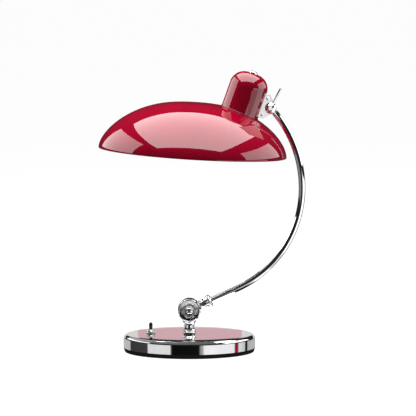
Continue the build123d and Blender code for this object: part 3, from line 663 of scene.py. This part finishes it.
# ---------------------------------------------------------------- arm
def arm_points():
    """Centreline of the tube, in metres: a straight, then two tangent arcs."""
    along = bearing(ARM_ANGLE)
    low_centre = KNUCKLE + (along * ARM_STRAIGHT + bearing(ARM_ANGLE + math.pi / 2) * ARM_LOW_R) * MM
    high_centre = low_centre + Vector((ARM_LOW_R - ARM_HIGH_R, 0, 0)) * MM
    top = math.asin((HEAD.z - high_centre.z) / (ARM_HIGH_R * MM)) - TUBE_STOP / ARM_HIGH_R
    distances = np.linspace(TUBE_START, ARM_STRAIGHT, 12, endpoint=False)
    low_angles = np.linspace(ARM_ANGLE - math.pi / 2, 0, 70, endpoint=False)
    high_angles = np.linspace(0, top, 50)
    points = [KNUCKLE + along * distance * MM for distance in distances]
    points += [low_centre + bearing(angle) * ARM_LOW_R * MM for angle in low_angles]
    points += [high_centre + bearing(angle) * ARM_HIGH_R * MM for angle in high_angles]
    return points


def arm_bar():
    """Bent tube, slightly rounded at its upper end."""
    points = arm_points()
    along = (points[-1] - points[-2]).normalized()
    points[-1] = points[-1] - along * 0.3 * MM
    points += [points[-1] + along * 0.2 * MM, points[-1] + along * 0.3 * MM]
    radii = [TUBE_R * MM] * (len(points) - 2) + [(TUBE_R - 0.1) * MM, (TUBE_R - 0.3) * MM]
    chromed("arm_bar", [swept(points, radii, 48)], "arm", "arm_tube")


def ferrule():
    """Waisted collar that flares to a rolled lip, then closes on the tube."""
    hole = 5.1
    outline = [(hole, 18.3), (7.0, 18.3)] + bow((7.25, 18.6), (6.98, 22.8), (8.0, 28.6), 10)
    outline += bow((8.15, 29.0), (8.7, 30.6), (9.6, 31.9), 6)
    outline += bow((9.9, 32.3), (10.1, 33.1), (9.9, 33.9), 6)
    outline += bow((9.6, 34.3), (7.9, 36.0), (5.95, 36.95), 6) + [(hole, 36.95)]
    chromed("ferrule", [turned(outline, axes(KNUCKLE, bearing(ARM_ANGLE)), 96)], "arm", "arm_ferrule")


# ---------------------------------------------------------------- shade and cup
DOME, DOME_HEADINGS = spline(DOME_POINTS, (1, 0), (0.1, -1), 14)


def inset_dome(depth):
    """The dome's outline, moved inward."""
    return [p + np.array((h[1], -h[0])) * depth for p, h in zip(DOME, DOME_HEADINGS)]


def shade_dome():
    """Thin dome: lacquered outside, enamelled inside, with a turned lip and the lampholder's hole."""
    rim, lip, drop, deep = DOME[-1][0], 0.75, 0.9, 30
    outline = [tuple(p) for p in DOME] + [(rim, -drop)] + arc((rim - lip, -drop), lip, -15, -165, 8)
    outline += [tuple(p) for p in reversed(inset_dome(DOME_WALL))]
    made = piece("shade_dome", [turned(outline, SHADE_AXES, 256)], "head", "red_lacquer", "shade")
    hole = [(0, -deep), (NECK_HOLE_R, -deep), (NECK_HOLE_R, deep), (0, deep)]
    cut_away(made, turned(hole, CUP_AXES, 96))
    made.data.materials.append(white_enamel())
    middle = SHADE_AXES @ Vector((0, 0, 0.005))
    for face in made.data.polygons:
        if face.normal.dot(face.center - middle) < 0:
            face.material_index = 1


def height_over_dome(point):
    """How far a point stands above the dome's outline along the shade's axis."""
    local = SHADE_AXES.inverted() @ point
    radius = math.hypot(local.x, local.y) / MM
    return local.z / MM - np.interp(radius, [p[0] for p in DOME], [p[1] for p in DOME])


def seam_height(angle):
    """Height along the cup's axis where its wall meets the dome, found by halving."""
    low, high = -20.0, 20.0
    for _ in range(30):
        middle = (low + high) / 2
        if height_over_dome(CUP_AXES @ around(angle, CUP_R, middle)) > 0:
            high = middle
        else:
            low = middle
    return middle


def cup_outline(seam):
    """Outer wall from the seam up and over, then back down inside."""
    knee = (CUP_R - CUP_SHOULDER, CUP_STRAIGHT)
    outline = [(CUP_R, seam + (CUP_STRAIGHT - seam) * i / 6) for i in range(6)]
    outline += arc(knee, CUP_SHOULDER, 0, 90, 18) + [(0, CUP_TOP), (0, CUP_TOP - CUP_WALL)]
    outline += arc(knee, CUP_SHOULDER - CUP_WALL, 90, 0, 14) + [(CUP_R - CUP_WALL, seam)]
    return outline


def cup_shell():
    """Spun cup whose edge follows the dome, with a thin bead round the seam."""
    count, bead_r = 192, 0.75
    walls, beads = [], []
    for i in range(count):
        angle = 2 * math.pi * i / count
        seam = seam_height(angle)
        bead = arc((CUP_R - 0.05, seam + 0.7), bead_r, 0, 337.5, 15)
        walls.append([CUP_AXES @ around(angle, r, z) for r, z in cup_outline(seam)])
        beads.append([CUP_AXES @ around(angle, r, z) for r, z in bead])
    rings = []
    for ring, (radius, _) in zip(zip(*walls), cup_outline(0)):
        rings.append(list(ring) if radius > ON_AXIS else [ring[0]])
    shells = [grid_shell(rings, loop=True), grid_shell(beads, loop=True)]
    piece("cup_shell", shells, "head", "red_lacquer", "cup")


def top_button():
    """Low domed button on the cup's crown."""
    outline = [(0, CUP_TOP - 0.4), (6.2, CUP_TOP - 0.4)]
    outline += rounded((6.6, CUP_TOP - 0.3), (6.6, CUP_TOP + 1.3, 0.5), (5.9, CUP_TOP + 1.6, 0.3))
    outline += bow((5.2, CUP_TOP + 1.75), (3.0, CUP_TOP + 2.75), (0, CUP_TOP + 3.15), 10)
    chromed("top_button", [turned(outline, CUP_AXES)], "head", "finial")


def globe():
    """Round opal bulb with its neck."""
    centre, radius, neck = -19.9, 22.5, 13.9
    join = math.degrees(math.acos(neck / radius))
    outline = [(0, centre - radius)] + arc((0, centre), radius, -86, join, 40)
    outline += bow((13.3, -0.6), (12.6, 1.4), (12.4, 3.6), 6) + [(12.4, 7.6), (0, 7.6)]
    piece("bulb_globe", [turned(outline, CUP_AXES, 96)], "head", "bulb_glass", "bulb_glass")


def holder_sleeve():
    """Lampholder's outer shell: chamfered mouth, ribbed grip and a cone up to the nipple."""
    ribs, first, pitch = 8, 22, 2.2
    outline = [(16.2, 5.3), (16.6, 5.0), (18.0, 5.0), (18.3, 5.3), (18.3, 20.8)]
    for i in range(ribs):
        low = first + i * pitch
        outline += [(19.1, low), (19.45, low + 0.4), (19.45, low + 1.4), (19.1, low + 1.8)]
    outline += [(19.4, 40.2), (18.0, 43.0), (11.0, 50.0), (5.2, 50.0)]
    outline += [(5.2, 47.5), (9.0, 47.5), (16.2, 43.0)]
    slot = RECORD_SLOT["lampholder_shell"]
    piece("holder_sleeve", [turned(outline, CUP_AXES, 96)], "head", slot, "lampholder_shell")


# ---------------------------------------------------------------- head bracket and clamp
def bracket_outline():
    """Side view of a cheek in the cup's frame: a foot on the cup and a round nose at the joint."""
    joint = CUP_AXES.inverted() @ HEAD / MM
    nose = (joint.x, joint.z)
    back, low_out, top_out = CUP_R - 1.25, 35.6, 34.4
    lower = tangent_angle((low_out, BRACKET_LOW), nose, EAR_R, -1)
    upper = tangent_angle((top_out, BRACKET_TOP), nose, EAR_R, 1)
    # the middle of the nose only steers the fillet beside it, and is dropped from both ends
    outline = rounded((back, BRACKET_LOW, 0.4), (low_out, BRACKET_LOW, 0.8), nose)[:-1]
    outline += arc(nose, EAR_R, lower, upper, 24)
    outline += rounded(nose, (top_out, BRACKET_TOP, 0.8), (back, BRACKET_TOP, 0.4))[1:]
    return outline


def tangent_angle(corner, centre, radius, side):
    """Where a line from a corner touches a circle, in degrees round it."""
    dx, dy = corner[0] - centre[0], corner[1] - centre[1]
    away = math.degrees(math.atan2(dy, dx))
    turn = math.degrees(math.acos(radius / math.hypot(dx, dy)))
    angle = away + turn if side < 0 else away - turn
    return (angle + 180) % 360 - 180


def bracket_cheeks():
    """Two flat cheeks with eased edges."""
    flat = CUP_AXES @ Matrix.Rotation(math.radians(90), 4, "X")
    outline = bracket_outline()
    front = prism(outline, flat, EAR_IN, EAR_OUT, 0.45)
    rear = prism(outline, flat, -EAR_OUT, -EAR_IN, 0.45)
    chromed("bracket_cheek_front", [front], "head", "bracket_front_cheek")
    chromed("bracket_cheek_rear", [rear], "head", "bracket_rear_cheek")


def clamp():
    """Domed bolt head at the back; domed hub and ribbed lever at the front."""
    head = [(0, -13.0), (2.45, -13.0), (2.45, 8.2), (5.7, 8.2), (6.0, 8.5)]
    head += bow((6.0, 9.0), (4.0, 11.0), (0, 11.8), 12)
    chromed("clamp_bolt_turned", [turned(head, axes(HEAD, BACK), 64)], "head", "clamp_bolt")
    hub = [(0, 13.7), (2.55, 13.7), (2.55, 8.32), (8.3, 8.32)]
    hub += bow((8.6, 8.45), (8.75, 8.8), (8.75, 9.2), 4) + bow((8.7, 10.9), (5.9, 14.3), (0, 15.9), 16)
    chromed("lever_hub_dome", [turned(hub, axes(HEAD, FRONT), 96)], "clamp_lever", "lever_hub")
    radius, groove, ribs, first, last, end = 1.8, 1.74, 22, 10.0, 33.1, 34.3
    pitch = (last - first) / ribs
    rod = [(0, 5.5), (1.65, 5.5), (1.65, 9.4), (radius, 9.7)]
    for i in range(ribs):
        low = first + i * pitch
        rod += [(groove, low), (radius, low + 0.3 * pitch), (radius, low + 0.65 * pitch)]
    rod += [(groove, last), (radius, last + 0.1)] + arc((1.2, end - 0.6), 0.6, 0, 90, 5) + [(0, end)]
    rod_place = axes(HEAD + FRONT * 11.9 * MM, bearing(LEVER_ANGLE))
    chromed("lever_bar", [turned(rod, rod_place, 48)], "clamp_lever", "lever_rod")


# ---------------------------------------------------------------- studio
FLOOR_GLOW = 0.975
ROOM_GLOW = 1.6
MIX_A, MIX_B, MIX_RESULT = 6, 7, 2      # colour sockets of a Mix node


def panel(name, centre, size, aim, radiance, yaw=0.0):
    """Soft rectangular light that isn't seen by the camera."""
    data = bpy.data.lights.new(name, "AREA")
    data.shape = "RECTANGLE"
    data.size, data.size_y = size
    data.energy = radiance * math.pi * size[0] * size[1]
    light = bpy.data.objects.new(name, data)
    turn = math.radians(yaw)
    side = (math.cos(turn), math.sin(turn), 0) if aim[2] else Vector(aim).cross((0, 0, 1))
    light.matrix_world = axes(centre, -Vector(aim), side)
    light.visible_camera = False
    bpy.context.scene.collection.objects.link(light)


def stage_mesh(name, shell, material):
    """Mesh that belongs to the studio, not to the lamp."""
    mesh = bpy.data.meshes.new(name)
    mesh.from_pydata([tuple(v) for v in shell[0]], [], shell[1])
    mesh.materials.append(material)
    made = bpy.data.objects.new(name, mesh)
    bpy.context.scene.collection.objects.link(made)
    return made


def rectangle(place, width, height):
    """Shell of one face in the XY of its place."""
    signs = ((-1, -1), (1, -1), (1, 1), (-1, 1))
    return [place @ Vector((x * width / 2, y * height / 2, 0)) for x, y in signs], [(0, 1, 2, 3)]


def board(name, shell, material):
    """Glowing board that only mirror finishes see; unlike a light it hides what is behind it."""
    made = stage_mesh(name, shell, material)
    made.visible_camera = False
    made.visible_diffuse = False
    made.visible_shadow = False
    made.visible_transmission = False


def card(name, centre, size, aim, colour):
    """Flat board that faces one part of the lamp."""
    side = (1, 0, 0) if aim[2] else Vector(aim).cross((0, 0, 1))
    board(name, rectangle(axes(centre, aim, side), *size), plain_glow(name, colour))


def floor():
    """Wide pale floor, hidden from mirror finishes, which see the room and the boards instead."""
    m = Nodes("floor_paper")
    m.tint(m.noise(6, 3), (0.12, 0.12, 0.12), (0.13, 0.13, 0.13))
    m.roughness(m.noise(40, 3), 0.85, 0.95)
    m.surface(m.bump(m.noise(800, 2), 0.05, 0.0002))
    m.set(Specular_IOR_Level=0.0, Emission_Color=(1, 1, 1, 1), Emission_Strength=FLOOR_GLOW)
    ground = stage_mesh("floor", rectangle(UPRIGHT, 120, 120), m.material)
    ground.visible_glossy = False
    ground.visible_diffuse = False


def stops_ramp(nodes, source, stops):
    """Colour ramp with the given (position, grey or colour) stops."""
    node = nodes.new("ShaderNodeValToRGB")
    elements = node.color_ramp.elements
    while len(elements) < len(stops):
        elements.new(0.5)
    for element, (position, level) in zip(elements, stops):
        colour = level if isinstance(level, tuple) else (level, level, level)
        element.position = position
        element.color = (*colour, 1)
    source.id_data.links.new(source, node.inputs["Fac"])
    return node.outputs["Color"]


def math_node(nodes, operation, first, second):
    """Output of one sum; each input is a number or a socket."""
    node = nodes.new("ShaderNodeMath")
    node.operation = operation
    for socket, value in zip(node.inputs, (first, second)):
        if isinstance(value, (int, float)):
            socket.default_value = value
        else:
            value.id_data.links.new(value, socket)
    return node.outputs[0]


def heading_of(nodes, place):
    """Angle round the vertical as 0..1, with 0.5 at the front, and the split coordinates."""
    split = nodes.new("ShaderNodeSeparateXYZ")
    place.id_data.links.new(place, split.inputs[0])
    forward = math_node(nodes, "MULTIPLY", split.outputs["Y"], -1.0)
    angle = math_node(nodes, "ARCTAN2", split.outputs["X"], forward)
    return math_node(nodes, "ADD", math_node(nodes, "DIVIDE", angle, 2 * math.pi), 0.5), split


def at(degrees):
    """Ramp position of a heading."""
    return degrees / 360 + 0.5


def glow(name):
    """Material that does nothing but glow, and the socket of its colour."""
    material = bpy.data.materials.new(name)
    material.use_nodes = True
    nodes = material.node_tree.nodes
    nodes.clear()
    emission = nodes.new("ShaderNodeEmission")
    out = nodes.new("ShaderNodeOutputMaterial")
    material.node_tree.links.new(emission.outputs[0], out.inputs["Surface"])
    return material, emission.inputs["Color"]


def plain_glow(name, colour):
    material, socket = glow(name)
    socket.default_value = (*colour, 1)
    return material


def glow_round(name, stops):
    """Glow whose colour changes with the heading from the lamp."""
    material, socket = glow(name)
    nodes = material.node_tree.nodes
    turn, _ = heading_of(nodes, nodes.new("ShaderNodeTexCoord").outputs["Object"])
    material.node_tree.links.new(stops_ramp(nodes, turn, stops), socket)
    return material


def round_points(radius, height, headings):
    """Points in metres at headings in degrees round the lamp, 0 at the front."""
    angles = [math.radians(heading) for heading in headings]
    return [Vector((radius * math.sin(a), -radius * math.cos(a), height)) for a in angles]


def low_boards():
    """Ring of low boards round the lamp, which the base's side shows as pale, dark and red bands."""
    all_round = np.linspace(0, 360, 96, endpoint=False)
    shell = grid_shell([round_points(0.30, height, all_round) for height in (-0.07, 0.024)])
    black, dull, red = 0.015, 0.50, (0.30, 0.012, 0.04)
    board("low_boards", shell, glow_round("low_boards", [
        (at(-180), 0.01), (at(-174.5), 0.01), (at(-173), dull), (at(-109), 0.55), (at(-108), 0.045),
        (at(-66), 0.05), (at(-65), 0.80), (at(-27.5), 0.84), (at(-26.5), 0.004), (at(15), 0.006),
        (at(16), 0.30), (at(20.5), 0.42), (at(21.5), 0.97), (at(72.5), 0.97), (at(74), red),
        (at(80.5), red), (at(82.5), 0.80), (at(98), 0.62), (at(99), black), (at(105.5), black),
        (at(106.5), dull), (at(173), dull), (at(174.5), 0.01)]))


def front_shelf():
    """Grey board over the front of the base; it keeps the top light out of the rounded shoulder."""
    sector = np.linspace(-150, 43, 41)
    shell = grid_shell([round_points(radius, 0.12, sector) for radius in (0.085, 0.26)], closed=False)
    board("front_shelf", shell, glow_round("front_shelf", [
        (at(-150), 0.45), (at(-95), 0.42), (at(-60), 0.18), (at(45), 0.12)]))


def under_board():
    """Black board under the base, seen only in its drawn-in foot."""
    depth = -0.0125
    edge = round_points(0.175, depth, np.linspace(0, 360, 48, endpoint=False))
    shell = grid_shell([[Vector((0, 0, depth))], edge])
    board("under_board", shell, plain_glow("under_board", (0.01, 0.01, 0.01)))


def studio_surroundings():
    """Dim room, pale low on the right and grey low on the left; the camera itself sees white."""
    world = bpy.data.worlds.new("studio")
    bpy.context.scene.world = world
    world.use_nodes = True
    nodes, links = world.node_tree.nodes, world.node_tree.links
    nodes.clear()
    turn, split = heading_of(nodes, nodes.new("ShaderNodeTexCoord").outputs["Generated"])
    height = math_node(nodes, "ADD", math_node(nodes, "MULTIPLY", split.outputs["Z"], 0.5), 0.5)
    walls = stops_ramp(nodes, turn, [(at(-180), 0.03), (at(-110), 0.03), (at(-104), 0.14), (at(-32), 0.15),
                                     (at(-24), 0.01), (at(28), 0.01), (at(32), 0.95), (at(103), 0.95),
                                     (at(107), 0.06), (at(178), 0.03)])
    below = stops_ramp(nodes, height, [(0.0, 1.0), (0.49, 1.0), (0.505, 0.0)])
    mix = nodes.new("ShaderNodeMix")
    mix.data_type = "RGBA"
    links.new(below, mix.inputs["Factor"])
    mix.inputs[MIX_A].default_value = (0.012, 0.012, 0.012, 1)
    links.new(walls, mix.inputs[MIX_B])
    room = nodes.new("ShaderNodeBackground")
    room.inputs["Strength"].default_value = ROOM_GLOW
    links.new(mix.outputs[MIX_RESULT], room.inputs["Color"])
    backdrop = nodes.new("ShaderNodeBackground")
    backdrop.inputs["Color"].default_value = (1, 1, 1, 1)
    choose = nodes.new("ShaderNodeMixShader")
    links.new(nodes.new("ShaderNodeLightPath").outputs["Is Camera Ray"], choose.inputs["Fac"])
    links.new(room.outputs[0], choose.inputs[1])
    links.new(backdrop.outputs[0], choose.inputs[2])
    out = nodes.new("ShaderNodeOutputWorld")
    links.new(choose.outputs[0], out.inputs["Surface"])


def lights():
    """Three soft panels, and the small boards that the bracket, the knuckle and the base's top show."""
    panel("top_panel", (0.10, 0.06, 1.68), (2.30, 2.35), (0, 0, -1), 4.0, yaw=-5)
    panel("left_panel", (-1.2, 0.66, 0.98), (2.0, 1.05), (1, 0, 0), 2.4)
    panel("right_panel", (1.2, 0.25, 0.72), (1.55, 0.65), (-1, 0, 0), 2.1)
    card("bracket_card", (0.1185, -0.045, 0.3705), (0.036, 0.048), (0, 1, 0), (0.86, 0.83, 0.83))
    card("knuckle_card", (0.01, -0.72, 0.001), (0.09, 0.26), (0, 0, 1), (0.75, 0.75, 0.75))
    card("rear_board", (0.0, 0.30, 0.055), (0.50, 0.06), (0, -1, 0), (0.72, 0.70, 0.69))
    card("rear_card", (0.0, 0.20, 0.053), (0.165, 0.030), (0, -1, 0), (0.66, 0.42, 0.45))


def camera():
    """Long lens, a little above the lamp, square on to its front."""
    data = bpy.data.cameras.new("camera")
    place = Vector((0.0283, -5.86, 0.75))
    target = Vector((0.0283, 0, 0.218))
    half_width = 0.315
    data.sensor_width = 36.0
    data.lens = data.sensor_width / 2 * (target - place).length / half_width
    data.clip_end = 200
    made = bpy.data.objects.new("camera", data)
    made.matrix_world = axes(place, place - target)
    bpy.context.scene.collection.objects.link(made)
    bpy.context.scene.camera = made


finish_cad_nodes()
base_shell()
base_foot_pad()
inlet_grommet()
switch_dome()
switch_bat()
post_foot()
fork()
knuckle_cap("knuckle_cap_front", FRONT, "front_knuckle_cap")
knuckle_cap("knuckle_cap_rear", BACK, "rear_knuckle_cap")
pivot()
arm_bar()
ferrule()
shade_dome()
cup_shell()
top_button()
globe()
holder_sleeve()
bracket_cheeks()
clamp()
floor()
low_boards()
front_shelf()
under_board()
studio_surroundings()
lights()
camera()
bpy.context.scene.view_settings.view_transform = "Standard"
